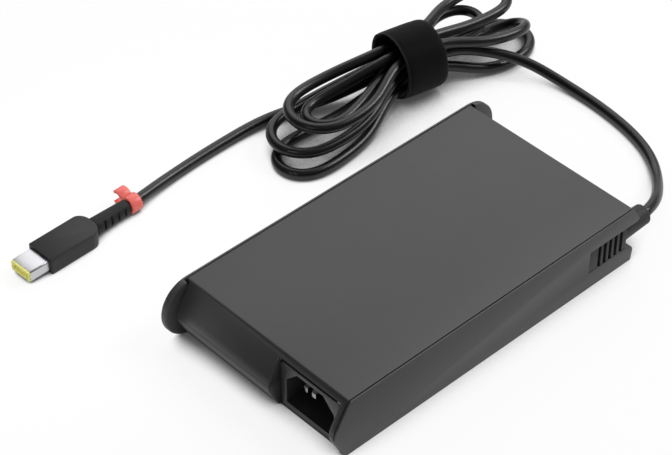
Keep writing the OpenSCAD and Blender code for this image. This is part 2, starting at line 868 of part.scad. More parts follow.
// From the hank's own frame, which has its origin on the floor under the strap, to the model's
function from_hank(p) = let (q = turned([p[0], p[1]], hank_yaw))
    [hank_pos[0] + q[0], hank_pos[1] + q[1], p[2]];
function from_plug(p) = let (q = turned([p[0], p[1]], plug_yaw))
    [plug_pos[0] + q[0], plug_pos[1] + q[1], p[2]];

// Centre of a run in the strap: column -1 near to 1 far, row 0 low to 2 high
function run_at(side, slot) =
    [side * run_l, slot[0] * grid, grid_z + (slot[1] - 1) * grid];

// One turn of the hank, from one run round the end and back to another
function turn_points(t) =
    let (
        side = t[0],
        a = run_at(side, t[1]),
        b = run_at(side, t[2]),
        reach = t[3],
        wide = t[4],
        first = t[1][0] != t[2][0]
            ? (t[1][0] < t[2][0] ? -1 : 1)
            : (t[1][1] > t[2][1] ? 1 : -1),
        end_x = reach - wide,
        mid_x = (run_l + end_x) / 2,
        arc = [for (k = [0 : 6]) [
            side * (end_x + wide * sin(30 * k)),
            t[5] + first * wide * cos(30 * k),
            max(rest_z, t[6] + first * t[7] * cos(30 * k))
        ]],
        mid_a = [side * mid_x, blend(a[1], arc[0][1], t[8]), blend(a[2], arc[0][2], t[9])],
        mid_b = [side * mid_x, blend(b[1], arc[6][1], t[8]), blend(b[2], arc[6][2], t[9])]
    )
    concat([a, mid_a], arc, [mid_b, b]);

hank_start = run_at(1, turns[0][1]);
hank_end = run_at(-1, [1, 0]);
hank_points = concat(
    [from_hank(hank_start)],
    [for (t = turns) each [for (p = turn_points(t)) from_hank(p)]],
    [from_hank(hank_end)]
);

barrel_mouth = [barrel_end, barrel_y, barrel_z];
boot_end = from_plug([-plug_l - boot_l, 0, axis_z]);
exit_points = concat(
    [barrel_mouth], exit_route, [from_hank(hank_start + [cord_d, 0, 0]), from_hank(hank_start)]
);
plug_points = concat(
    [from_hank(hank_end), from_hank(hank_end - [cord_d, 0, 0])], plug_route,
    [from_plug([clip_x - clip_w - 1, 0, axis_z]), boot_end]
);

// Least gap between the surfaces of runs that are apart along the hank, taken between
// points spaced along each straight stretch
gap_steps = 4;
fine = [for (i = [0 : len(hank_points) - 2]) each
    [for (k = [0 : gap_steps - 1]) blend(hank_points[i], hank_points[i + 1], k / gap_steps)]];
apart = 3 * gap_steps;
echo(hank_least_gap = min([
    for (i = [0 : len(fine) - 1 - apart])
        min([for (j = [i + apart : len(fine) - 1]) norm(fine[i] - fine[j])])
]) - cord_d);

// Tube swept along points; its first and last faces are square to the end directions
module tube(points, d, sides, first_dir, last_dir) {
    n = len(points);
    dirs = [for (i = [0 : n - 1])
        i == 0 ? first_dir
        : i == n - 1 ? last_dir
        : unit(unit(points[i] - points[i - 1]) + unit(points[i + 1] - points[i]))];
    ring = function (i)
        let (
            across = unit(cross([0, 0, 1], dirs[i])),
            up = cross(dirs[i], across)
        )
        [for (k = [0 : sides - 1])
            points[i] + d / 2 * (cos((k + 0.5) * 360 / sides) * across
                + sin((k + 0.5) * 360 / sides) * up)];
    polyhedron(
        points = [for (i = [0 : n - 1]) each ring(i)],
        faces = concat(
            [[for (k = [0 : sides - 1]) k]],
            [[for (k = [sides - 1 : -1 : 0]) (n - 1) * sides + k]],
            [for (i = [0 : n - 2]) for (k = [0 : sides - 1]) each [
                [i * sides + k, (i + 1) * sides + k, i * sides + (k + 1) % sides],
                [i * sides + (k + 1) % sides, (i + 1) * sides + k,
                    (i + 1) * sides + (k + 1) % sides]
            ]]
        )
    );
}

hank_axis = concat(turned([1, 0], hank_yaw), [0]);
plug_axis = concat(turned([1, 0], plug_yaw), [0]);

module cord_from_case() {
    color(cord_colour) tube(exit_points, cord_d, 8, [1, 0, 0], -hank_axis);
}

module cord_hank() {
    color(cord_colour) tube(hank_points, cord_d, 6, -hank_axis, -hank_axis);
}

module cord_to_plug() {
    color(cord_colour) tube(plug_points, cord_d, 8, -hank_axis, plug_axis);
}

// Hook-and-loop strap: one closed layer and a second that overlaps part of it
module cord_strap() {
    color([0.08, 0.08, 0.08])
    translate([strap_pos[0], strap_pos[1], strap_r])
        rotate([0, 0, strap_yaw]) rotate([90, 0, 90])
            translate([0, 0, -strap_w / 2]) linear_extrude(strap_w)
                difference() {
                    circle(strap_r);
                    circle(strap_r - 2 * strap_t);
                    // the part of the outer layer that the overlap doesn't reach
                    difference() {
                        polygon([[0, 0], [far, far * tan(30)], [far, far], [-far * tan(40), far]]);
                        circle(strap_r - strap_t);
                    }
                }
}

// ---- plug -----------------------------------------------------------------------------

module at_plug() {
    translate([plug_pos[0], plug_pos[1], 0]) rotate([0, 0, plug_yaw]) children();
}

// Outline drawn as (across, up) about the plug's axis, run along the axis from x0 to x1
module along_plug(x0, x1) {
    translate([x0, 0, axis_z]) rotate([90, 0, 90]) linear_extrude(x1 - x0) children();
}

shell_in = 4;

module plug_housing() {
    color([0.2, 0.2, 0.21]) at_plug()
    difference() {
        intersection() {
            linear_extrude(plug_h)
                belt([
                    [-0.6, plug_w / 2 - 0.6, 0.6],
                    [-plug_l + plug_rear_r, plug_w / 2 - plug_rear_r, plug_rear_r],
                    [-plug_l + plug_rear_r, -plug_w / 2 + plug_rear_r, plug_rear_r],
                    [-0.6, -plug_w / 2 + 0.6, 0.6]
                ]);
            along_plug(-plug_l - 1, 1) round_rect(plug_w, plug_h, plug_edge_r);
        }
        along_plug(-shell_in, 1) round_rect(shell_w + 2 * fit, shell_h + 2 * fit, 0.8 + fit);
    }
}

module plug_shell() {
    color(metal) at_plug()
    difference() {
        along_plug(-shell_in, shell_out) round_rect(shell_w, shell_h, 0.8);
        along_plug(-shell_in - 1, shell_out + 1)
            round_rect(shell_w - 2 * shell_t, shell_h - 2 * shell_t, 0.8 - shell_t / 2);
    }
}

module plug_insulator() {
    inset = shell_t + 0.05;
    color([0.93, 0.85, 0.2]) at_plug()
    difference() {
        union() {
            along_plug(-shell_in, shell_out + eps)
                round_rect(shell_w - 2 * inset, shell_h - 2 * inset, 0.5);
            along_plug(shell_out + eps, shell_out + insulator_out)
                round_rect(shell_w - 0.2, shell_h - 0.2, 0.7);
        }
        along_plug(-shell_in + 2, shell_out + insulator_out + 1)
            round_rect(plug_slot_w, plug_slot_h, 0.6);
        translate([-shell_in - 1, 0, axis_z]) rotate([0, 90, 0]) cylinder(d = pin_d, h = 4);
    }
}

module plug_centre_pin() {
    color([0.85, 0.7, 0.35]) at_plug()
        translate([-shell_in, 0, axis_z]) rotate([0, 90, 0])
            cylinder(d = pin_d, h = shell_in + shell_out - 1.5);
}

boot_ribs = 4;

module plug_boot() {
    pitch = boot_l / (boot_ribs + 1);
    color([0.15, 0.15, 0.15]) at_plug()
    difference() {
        translate([-plug_l - boot_l, 0, axis_z]) rotate([0, 90, 0])
            cylinder(d1 = boot_tip_d, d2 = boot_d, h = boot_l);
        for (i = [1 : boot_ribs])
            translate([-plug_l - boot_l + i * pitch, 0, 0])
                for (s = [-1, 1])
                    translate([-0.6, s * plug_w / 2, axis_z]) 
                        cube([1.2, plug_w - boot_tip_d + 1.4, plug_h + 2], center = true);
    }
}

// ---- clip -----------------------------------------------------------------------------

// Ring that turns on the cord, with an open claw beside it
module cord_clip() {
    color([0.85, 0.3, 0.3]) at_plug()
    translate([clip_x - clip_w, 0, axis_z]) rotate([90, 0, 90])
        linear_extrude(clip_w)
            difference() {
                union() {
                    circle(ring_r + clip_t);
                    translate([-claw_x, 0]) circle(claw_r + clip_t);
                    translate([-claw_x / 2, 0]) square([claw_x, 4], center = true);
                }
                circle(ring_r);
                translate([-claw_x, 0]) circle(claw_r);
                translate([-claw_x, 0])
                    polygon([
                        [0, 0],
                        [-far * cos(claw_mouth / 2), far * sin(claw_mouth / 2)],
                        [-far * cos(claw_mouth / 2), -far * sin(claw_mouth / 2)]
                    ]);
            }
}

// ---- nodes ----------------------------------------------------------------------------

bottom_case();
top_cover();
inlet_housing();
line_blade();
neutral_blade();
earth_blade();
power_wires();
earth_wire();
circuit_board();
insulation_sheet();
bottom_heat_spreader();
top_heat_spreader();
fuse();
x_capacitor();
y_capacitors();
choke_core();
choke_windings();
bridge_rectifier();
pfc_inductor();
bulk_capacitors();
primary_heatsink();
primary_transistors();
transformer_core();
transformer_winding();
secondary_heatsink();
rectifier_transistors();
output_capacitors();
control_board();
output_wires();
output_strain_relief();
cord_from_case();
cord_hank();
cord_strap();
cord_to_plug();
plug_boot();
plug_housing();
plug_shell();
plug_insulator();
plug_centre_pin();
cord_clip();
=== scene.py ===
"""Laptop power adapter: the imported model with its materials, fine edges, cord and strap."""
import json
import math
import random

import bpy
from mathutils import Matrix, Vector


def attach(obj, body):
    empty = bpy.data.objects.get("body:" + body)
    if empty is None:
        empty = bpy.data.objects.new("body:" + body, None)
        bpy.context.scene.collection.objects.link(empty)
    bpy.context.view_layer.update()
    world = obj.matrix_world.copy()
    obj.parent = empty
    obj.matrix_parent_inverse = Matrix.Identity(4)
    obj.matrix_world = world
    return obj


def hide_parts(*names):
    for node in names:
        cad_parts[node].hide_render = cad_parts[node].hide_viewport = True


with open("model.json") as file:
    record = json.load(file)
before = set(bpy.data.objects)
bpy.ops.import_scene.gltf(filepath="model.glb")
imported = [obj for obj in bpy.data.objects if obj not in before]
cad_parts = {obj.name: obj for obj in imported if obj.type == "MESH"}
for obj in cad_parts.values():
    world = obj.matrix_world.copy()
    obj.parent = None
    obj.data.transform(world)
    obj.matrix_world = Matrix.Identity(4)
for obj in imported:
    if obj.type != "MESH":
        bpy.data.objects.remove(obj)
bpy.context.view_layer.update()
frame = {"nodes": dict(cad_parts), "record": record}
MM = 0.001

# ---- camera ------------------------------------------------------------------------------
# angles in degrees, the distance and the point looked at in millimetres
AZIMUTH, ELEVATION = -43.161, 41.597
DISTANCE = 907.246 * MM
TARGET = Vector((4.456, 46.239, 0.0)) * MM
FOCAL_PX, IMAGE_W = 2346.65, 672
SENSOR = 36.0


def make_camera():
    a, e = math.radians(AZIMUTH), math.radians(ELEVATION)
    back = Vector((math.sin(a) * math.cos(e), -math.cos(a) * math.cos(e), math.sin(e)))
    right = Vector((math.cos(a), math.sin(a), 0.0))
    up = back.cross(right)
    data = bpy.data.cameras.new("camera")
    data.sensor_width = SENSOR
    data.lens = FOCAL_PX / IMAGE_W * SENSOR
    data.clip_start, data.clip_end = 0.01, 20.0
    cam = bpy.data.objects.new("camera", data)
    bpy.context.scene.collection.objects.link(cam)
    cam.matrix_world = Matrix.Translation(TARGET + back * DISTANCE) @ Matrix(
        (right, up, back)).transposed().to_4x4()
    bpy.context.scene.camera = cam


make_camera()

# ---- cord route, as in the part's source, in millimetres ----------------------------------
CORD_D = 4.5
CASE_W, BODY_L = 87.4, 160.2
# the relief's round end: how far it stands out, its middle from the near wall, and its height
BARREL_OUT, BARREL_IN, BARREL_Z = 4.8, 5.2, 13.0
BARREL_MOUTH = Vector((BODY_L / 2 + BARREL_OUT, -CASE_W / 2 + BARREL_IN, BARREL_Z))
PLUG_POS, PLUG_YAW = (-92.2, 106.6), 181.5
PLUG_L, BOOT_L, PLUG_AXIS_Z = 25.5, 17.2, 3.7
CLIP_BOOT_GAP, CLIP_W, CLIP_LEAD = 0.6, 5.0, 1.0
CLIP_X = -PLUG_L - BOOT_L - CLIP_BOOT_GAP
HANK_POS, HANK_YAW = (86.4, 89.8), -3.0
GRID, GRID_Z, RUN_L = 5.8, 14.4, 12.0
FLOOR_GAP = 0.05
REST_Z = CORD_D / 2 + FLOOR_GAP
ARC_STEPS = 6
LAST_RUN = (1, 0)
# One row for each turn: side, first run, second run, reach, half width, sideways shift,
# height, tilt, how fast it widens and how fast it sinks
TURNS = [
    (-1, (-1, 1), (1, 1), 72, 13.8, -2, 7.4, 0, 0.9, 0.75),
    (1, (1, 1), (0, 1), 46, 9.2, 8, 11.7, 0, 0.8, 0.6),
    (-1, (0, 1), (0, 2), 56, 9.2, -2, 11.3, -0.6, 0.6, 0.6),
    (1, (0, 2), (1, 2), 60, 9.4, 7, 17.1, 0, 0.85, 0.85),
    (-1, (1, 2), (-1, 2), 63, 14, -2, 15.2, 0, 0.85, 0.75),
    (1, (-1, 2), (0, 0), 56.5, 9.2, -8, 11, -4.8, 0.8, 0.6),
    (-1, (0, 0), (-1, 0), 76, 11.5, -9, 2.3, 0, 0.75, 1),
    (1, (-1, 0), (1, 0), 62, 13, -4, 2.3, 0, 0.85, 0.85),
]
EXIT_ROUTE = [
    (90, -38.3, 12.8), (98, -34.4, 10.2), (106, -28.7, 6.8), (113, -22.6, 4), (119, -16.5, 2.6),
    (124, -9, 2.3), (127.5, -0.5, 2.3), (130, 9, 2.3), (131.5, 19, 2.3), (132.5, 29, 2.3),
    (132.6, 39, 2.5), (131.6, 48.5, 3.6), (129, 57.5, 6.2), (124.5, 66, 8.8), (118, 73.2, 10.8),
    (110, 79.6, 13),
]
PLUG_ROUTE = [
    (64, 99.6, 6), (54, 103.6, 3.4), (43, 108.2, 2.3), (32, 111.4, 2.3), (20, 112.8, 2.3),
    (8, 112.8, 2.3), (-4, 112.5, 2.3), (-15, 111.9, 2.3), (-26, 110.9, 2.5), (-35, 109.5, 3.2),
]
# the curve's steps between two points, the path's step, and how the path is rounded off
CURVE_STEPS, PATH_STEP = 12, 1.0
RELAX_ROUNDS, FIXED_POINTS = 60, 3


def placed(p, origin, yaw):
    """A point in a turned frame on the floor, in the model's frame."""
    a = math.radians(yaw)
    return Vector((origin[0] + p[0] * math.cos(a) - p[1] * math.sin(a),
                   origin[1] + p[0] * math.sin(a) + p[1] * math.cos(a), p[2]))


def from_hank(p):
    return placed(p, HANK_POS, HANK_YAW)


def from_plug(p):
    return placed(p, PLUG_POS, PLUG_YAW)


def mix(a, b, k):
    return a * (1 - k) + b * k


def run_at(side, slot):
    return (side * RUN_L, slot[0] * GRID, GRID_Z + (slot[1] - 1) * GRID)


def turn_points(side, s1, s2, reach, wide, shift, height, tilt, spread, sink):
    """One turn of the hank, from one run round the end and back to another."""
    a, b = run_at(side, s1), run_at(side, s2)
    if s1[0] != s2[0]:
        first = -1 if s1[0] < s2[0] else 1
    else:
        first = 1 if s1[1] > s2[1] else -1
    end_x = reach - wide
    mid_x = (RUN_L + end_x) / 2
    arc = []
    for k in range(ARC_STEPS + 1):
        t = math.radians(180 * k / ARC_STEPS)
        arc.append((side * (end_x + wide * math.sin(t)), shift + first * wide * math.cos(t),
                    max(REST_Z, height + first * tilt * math.cos(t))))
    mid_a = (side * mid_x, mix(a[1], arc[0][1], spread), mix(a[2], arc[0][2], sink))
    mid_b = (side * mid_x, mix(b[1], arc[-1][1], spread), mix(b[2], arc[-1][2], sink))
    return [a, mid_a] + arc + [mid_b, b]


def smooth_route(points):
    """Centripetal Catmull-Rom curve through the points, resampled evenly."""
    pts = [points[0] * 2 - points[1]] + points + [points[-1] * 2 - points[-2]]
    dense = []
    for p0, p1, p2, p3 in zip(pts, pts[1:], pts[2:], pts[3:]):
        t1 = (p1 - p0).length ** 0.5
        t2 = t1 + (p2 - p1).length ** 0.5
        t3 = t2 + (p3 - p2).length ** 0.5
        for k in range(CURVE_STEPS):
            t = mix(t1, t2, k / CURVE_STEPS)
            a1 = p0 * ((t1 - t) / t1) + p1 * (t / t1)
            a2 = p1 * ((t2 - t) / (t2 - t1)) + p2 * ((t - t1) / (t2 - t1))
            a3 = p2 * ((t3 - t) / (t3 - t2)) + p3 * ((t - t2) / (t3 - t2))
            b1 = a1 * ((t2 - t) / t2) + a2 * (t / t2)
            b2 = a2 * ((t3 - t) / (t3 - t1)) + a3 * ((t - t1) / (t3 - t1))
            dense.append(b1 * ((t2 - t) / (t2 - t1)) + b2 * ((t - t1) / (t2 - t1)))
    dense.append(points[-1])
    return resample(dense, PATH_STEP)


def resample(points, step):
    """Points at even distances along a line, with its ends kept."""
    total = sum((b - a).length for a, b in zip(points, points[1:]))
    count = max(2, round(total / step))
    gap = left = total / count
    out = [points[0].copy()]
    for a, b in zip(points, points[1:]):
        seg = (b - a).length
        done = 0.0
        while seg - done >= left - 1e-9:
            done += left
            out.append(a.lerp(b, done / seg))
            left = gap
        left -= seg - done
    if len(out) <= count:
        out.append(points[-1].copy())
    out[-1] = points[-1].copy()
    return out


def relax(points, rounds, fixed):
    """Rounds off the curve's bends, keeps its ends where they are and stays above the floor."""
    pts = [p.copy() for p in points]
    for _ in range(rounds):
        new = [p.copy() for p in pts]
        for i in range(fixed, len(pts) - fixed):
            new[i] = pts[i] * 0.5 + (pts[i - 1] + pts[i + 1]) * 0.25
            new[i].z = max(new[i].z, REST_Z)
        pts = new
    return pts


hank_first = run_at(1, TURNS[0][1])
hank_last = run_at(-1, LAST_RUN)
route = [BARREL_MOUTH] + [Vector(p) for p in EXIT_ROUTE]
route.append(from_hank((hank_first[0] + CORD_D, hank_first[1], hank_first[2])))
route.append(from_hank(hank_first))
for turn in TURNS:
    route += [from_hank(p) for p in turn_points(*turn)]
route.append(from_hank(hank_last))
route.append(from_hank((hank_last[0] - CORD_D, hank_last[1], hank_last[2])))
route += [Vector(p) for p in PLUG_ROUTE]
route.append(from_plug((CLIP_X - CLIP_W - CLIP_LEAD, 0, PLUG_AXIS_Z)))
route.append(from_plug((-PLUG_L - BOOT_L, 0, PLUG_AXIS_Z)))
cord_path = relax(smooth_route(route), RELAX_ROUNDS, FIXED_POINTS)


# ---- mesh helpers ---------------------------------------------------------------------------
def new_object(name, verts, faces, smooth=True):
    mesh = bpy.data.meshes.new(name)
    mesh.from_pydata([tuple(v) for v in verts], [], faces)
    mesh.validate()
    mesh.polygons.foreach_set("use_smooth", [smooth] * len(mesh.polygons))
    obj = bpy.data.objects.new(name, mesh)
    bpy.context.scene.collection.objects.link(obj)
    return obj


def frames_along(points):
    """Points with an across and an up vector each, that don't twist along the line."""
    out, across = [], None
    for i, p in enumerate(points):
        d = (points[min(i + 1, len(points) - 1)] - points[max(i - 1, 0)]).normalized()
        if across is None:
            across = Vector((0, 0, 1)).cross(d).normalized()
        across = (across - d * across.dot(d)).normalized()
        out.append((p, across, d.cross(across)))
    return out


def tube(name, points, radius, sides=20):
    """Closed tube along points in millimetres."""
    verts, faces = [], []
    rings = frames_along(points)
    for p, u, v in rings:
        for k in range(sides):
            a = 2 * math.pi * k / sides
            verts.append((p + u * (radius * math.cos(a)) + v * (radius * math.sin(a))) * MM)
    for i in range(len(rings) - 1):
        for k in range(sides):
            n = (k + 1) % sides
            faces.append((i * sides + k, i * sides + n, (i + 1) * sides + n, (i + 1) * sides + k))
    faces.append(tuple(range(sides - 1, -1, -1)))
    faces.append(tuple((len(rings) - 1) * sides + k for k in range(sides)))
    return new_object(name, verts, faces)


# ---- materials --------------------------------------------------------------------------------
def srgb(level):
    """The linear value of a screen level from 0 to 255."""
    c = level / 255
    return c / 12.92 if c <= 0.04045 else ((c + 0.055) / 1.055) ** 2.4


def grey(level):
    return (srgb(level),) * 3


def map_range(tree, value, source, result):
    """A value carried from one range to another, and held at that range's ends."""
    node = tree.nodes.new("ShaderNodeMapRange")
    node.inputs["From Min"].default_value, node.inputs["From Max"].default_value = source
    node.inputs["To Min"].default_value, node.inputs["To Max"].default_value = result
    tree.links.new(value, node.inputs["Value"])
    return node.outputs["Result"]


class Surface:
    """A node material built round one Principled shader."""

    def __init__(self, name, roughness, metallic=0.0, **sockets):
        self.mat = bpy.data.materials.new(name)
        self.mat.use_nodes = True
        self.nodes = self.mat.node_tree.nodes
        self.links = self.mat.node_tree.links
        self.bsdf = self.nodes["Principled BSDF"]
        self.bsdf.inputs["Roughness"].default_value = roughness
        self.bsdf.inputs["Metallic"].default_value = metallic
        for socket, value in sockets.items():
            self.bsdf.inputs[socket.replace("_", " ")].default_value = value
        self.coord = self.nodes.new("ShaderNodeTexCoord").outputs["Object"]
        self.height = None

    def link(self, a, b):
        self.links.new(a, b)

    def noise(self, scale, detail, stretch=None):
        node = self.nodes.new("ShaderNodeTexNoise")
        node.inputs["Scale"].default_value = scale
        node.inputs["Detail"].default_value = detail
        vector = self.coord
        if stretch:
            mapping = self.nodes.new("ShaderNodeMapping")
            mapping.inputs["Scale"].default_value = stretch
            self.link(vector, mapping.inputs["Vector"])
            vector = mapping.outputs["Vector"]
        self.link(vector, node.inputs["Vector"])
        return node.outputs["Fac"]

    def voronoi(self, scale):
        node = self.nodes.new("ShaderNodeTexVoronoi")
        node.inputs["Scale"].default_value = scale
        self.link(self.coord, node.inputs["Vector"])
        return node.outputs["Distance"]

    def ramp(self, fac, stops):
        node = self.nodes.new("ShaderNodeValToRGB")
        items = node.color_ramp.elements
        while len(items) < len(stops):
            items.new(0.5)
        for item, (pos, colour) in zip(items, stops):
            item.position = pos
            item.color = (*colour, 1.0)
        self.link(fac, node.inputs["Fac"])
        return node.outputs["Color"]

    def spread(self, fac, low, high):
        return map_range(self.mat.node_tree, fac, (0, 1), (low, high))

    def colour_by(self, fac, *stops):
        self.link(self.ramp(fac, stops), self.bsdf.inputs["Base Color"])
        return self

    def roughness_by(self, fac, low, high):
        self.link(self.spread(fac, low, high), self.bsdf.inputs["Roughness"])
        return self

    def bump(self, fac, height_mm, strength=1.0):
        node = self.nodes.new("ShaderNodeBump")
        node.inputs["Distance"].default_value = height_mm * MM
        node.inputs["Strength"].default_value = strength
        self.link(fac, node.inputs["Height"])
        if self.height:
            self.link(self.height, node.inputs["Normal"])
        self.height = node.outputs["Normal"]
        self.link(self.height, self.bsdf.inputs["Normal"])
        return self


def textured_plastic(name, level, rough, grain, depth, variation=0.05, shine=0.5):
    """Moulded plastic with a fine spark-eroded texture and slight unevenness of colour."""
    s = Surface(name, rough, Specular_IOR_Level=shine)
    c = srgb(level)
    patch = s.noise(90, 4)
    s.colour_by(patch, (0.3, (c * (1 - variation),) * 3), (0.7, (c * (1 + variation),) * 3))
    fine = s.noise(grain, 2)
    s.roughness_by(fine, rough - 0.08, rough + 0.08)
    s.bump(fine, depth)
    return s.mat


def tinted_plastic(name, rgb, rough=0.42):
    """Smooth coloured plastic with a faint grain."""
    s = Surface(name, rough)
    patch = s.noise(140, 3)
    low, high = [[c * k for c in rgb] for k in (0.93, 1.05)]
    s.colour_by(patch, (0.3, low), (0.7, high))
    fine = s.noise(1500, 2)
    s.roughness_by(fine, rough - 0.06, rough + 0.06)
    s.bump(fine, 0.006)
    return s.mat


def metal_finish(name, rgb, rough):
    """Metal with fine lines drawn along its length."""
    s = Surface(name, rough, metallic=1.0)
    drawn = s.noise(420, 3, stretch=(1, 12, 12))
    low, high = [[c * k for c in rgb] for k in (0.9, 1.0)]
    s.colour_by(drawn, (0.3, low), (0.7, high))
    s.roughness_by(drawn, rough - 0.08, rough + 0.1)
    s.bump(drawn, 0.003)
    return s.mat


def cord_jacket():
    """Cord jacket with a slight unevenness of colour, gloss and surface."""
    s = Surface("cord_jacket", 0.36, Specular_IOR_Level=0.4)
    s.colour_by(s.noise(200, 3), (0.3, grey(18)), (0.7, grey(24)))
    fine = s.noise(2400, 2)
    s.roughness_by(s.noise(900, 3), 0.24, 0.4)
    s.bump(s.noise(1100, 3), 0.03).bump(fine, 0.012)
    return s.mat


def strap_fabric():
    """Black loop pile: tangled fibres over a soft unevenness."""
    s = Surface("strap_fabric", 0.9, Sheen_Weight=0.08, Sheen_Roughness=0.5,
                Specular_IOR_Level=0.12)
    loops = s.voronoi(2300)
    s.colour_by(loops, (0.0, grey(9)), (0.7, grey(18)))
    s.bump(s.noise(500, 3), 0.05).bump(loops, 0.12, 0.7)
    return s.mat


MATERIALS = {
    "case": textured_plastic("case_plastic", 64, 0.48, 2600, 0.01, 0.03),
    "inlet": textured_plastic("inlet_plastic", 66, 0.45, 1800, 0.006),
    "contact": metal_finish("nickel_plate", (0.58, 0.58, 0.6), 0.3),
    "brown_wire": tinted_plastic("brown_insulation", (0.12, 0.045, 0.02)),
    "green_wire": tinted_plastic("green_insulation", (0.1, 0.28, 0.04)),
    "board": tinted_plastic("solder_mask", (0.015, 0.13, 0.05), 0.3),
    "insulation": tinted_plastic("insulating_film", (0.7, 0.64, 0.4), 0.45),
    "heatsink": metal_finish("mill_aluminium", (0.72, 0.73, 0.75), 0.38),
    "black_epoxy": textured_plastic("black_epoxy", 32, 0.5, 1500, 0.008),
    "yellow_box": tinted_plastic("film_capacitor", (0.6, 0.42, 0.05), 0.35),
    "blue_disc": tinted_plastic("disc_capacitor", (0.02, 0.1, 0.42), 0.35),
    "ferrite": textured_plastic("ferrite", 52, 0.7, 900, 0.02),
    "enamelled_copper": metal_finish("enamelled_copper", (0.62, 0.24, 0.08), 0.3),
    "capacitor_sleeve": tinted_plastic("capacitor_sleeve", (0.012, 0.014, 0.03), 0.32),
    "winding_tape": tinted_plastic("winding_tape", (0.72, 0.5, 0.04), 0.3),
    "cord": cord_jacket(),
    "strap": strap_fabric(),
    "plug_body": textured_plastic("plug_plastic", 47, 0.55, 1900, 0.008, 0.04, 0.32),
    "plug_tip": tinted_plastic("plug_insulator", (0.98, 0.95, 0.27), 0.45),
    "gold": metal_finish("gold_plate", (0.9, 0.65, 0.28), 0.25),
    "clip": tinted_plastic("clip_plastic", (0.98, 0.18, 0.15), 0.4),
    # darker copy of nickel_plate for the blades: painted shade of the inlet recess
    "blade": metal_finish("blade_nickel_painted_shade", (0.36, 0.36, 0.37), 0.24),
    "relief": textured_plastic("relief_rubber", 50, 0.55, 1800, 0.01, 0.04, 0.3),
    "boot": textured_plastic("boot_rubber", 36, 0.6, 900, 0.03, 0.08, 0.25),
    # lighter grey for the strap's edge faces and left rim: painted highlight
    "strap_rim_highlight": textured_plastic("strap_rim_painted_highlight", 58, 0.85, 2600, 0.05, 0.15, 0.15),
}
# nodes that look different from the rest of their material slot: rubber for the boot and the relief,
# and for the blades a darker copy of the nickel, painted shade of the inlet recess
OWN_FINISH_AND_PAINTED_SHADE = {"line_blade": "blade", "neutral_blade": "blade", "earth_blade": "blade",
                "plug_boot": "boot", "output_strain_relief": "relief"}

slots = {s["node"]: s["material_slot"] for s in frame["record"]["subparts"]}
for node, obj in frame["nodes"].items():
    obj.data.materials.clear()
    obj.data.materials.append(MATERIALS[OWN_FINISH_AND_PAINTED_SHADE.get(node, slots[node])])


# ---- fine edges on the shown solids -------------------------------------------------------------
# edge roundings in millimetres
EDGE_WIDTHS = {
    "bottom_case": 0.3, "top_cover": 0.3, "inlet_housing": 0.2, "output_strain_relief": 0.25,
    "plug_boot": 0.2, "plug_housing": 0.15, "plug_shell": 0.08, "plug_insulator": 0.08,
    "cord_clip": 0.25, "line_blade": 0.15, "neutral_blade": 0.15, "earth_blade": 0.15,
}
MERGE_M, FLAT_DEG, SHARP_DEG = 1e-6, 0.6, 25


def soften(node, width_mm):
    """Small real roundings on a solid's sharp edges, by modifiers alone."""
    obj = frame["nodes"][node]
    obj.data.polygons.foreach_set("use_smooth", [True] * len(obj.data.polygons))
    weld = obj.modifiers.new("weld", "WELD")
    weld.merge_threshold = MERGE_M
    flat = obj.modifiers.new("flat", "DECIMATE")
    flat.decimate_type = "DISSOLVE"
    flat.angle_limit = math.radians(FLAT_DEG)
    bevel = obj.modifiers.new("bevel", "BEVEL")
    bevel.width = width_mm * MM
    bevel.segments = 2
    bevel.limit_method = "ANGLE"
    bevel.angle_limit = math.radians(SHARP_DEG)
    bevel.use_clamp_overlap = True
    bevel.harden_normals = True


for node, width in EDGE_WIDTHS.items():
    soften(node, width)


# ---- the cord -------------------------------------------------------------------------------------
cord = tube("output_cord", cord_path, CORD_D / 2)
cord.data.materials.append(MATERIALS["cord"])
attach(cord, "case")
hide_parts("cord_from_case", "cord_hank", "cord_to_plug")

# ---- the strap --------------------------------------------------------------------------------------
STRAP_POS, STRAP_YAW = (86.6, 89.4), -12.0
STRAP_R, STRAP_W = 15.0, 19.0
STRAP_T = 0.85
# angles in degrees: where the outer layer starts over the inner one and where it ends, how far
# the inner end stops short of a full turn, how early the ribbon starts to climb and over what angle
STRAP_OVERLAP = (140, 390)
INNER_SHORT = 8
CLIMB_BEFORE, CLIMB_LENGTH = 22, 26
STRAP_STEPS, STRAP_CELLS = 280, 24
# how far each face is drawn in to keep the layers apart, and drop of the edges, in millimetres
LAYER_SLACK, EDGE_DROP = 0.02, 0.22
# shares: sideways sway of the width, depth of the dents, and how far the edges thin out
SWAY_SHARE, DENT_SHARE, EDGE_THINNING = 0.03, 0.3, 0.75


def rim_point(side, deg, inset):
    """A point on the strap's left (-1) or right (1) rim; 0 degrees is the far side and 90 the top."""
    a = math.radians(deg)
    r = STRAP_R - inset
    p = Vector((side * STRAP_W / 2, r * math.cos(a), STRAP_R + r * math.sin(a)))
    return placed(p, STRAP_POS, STRAP_YAW)


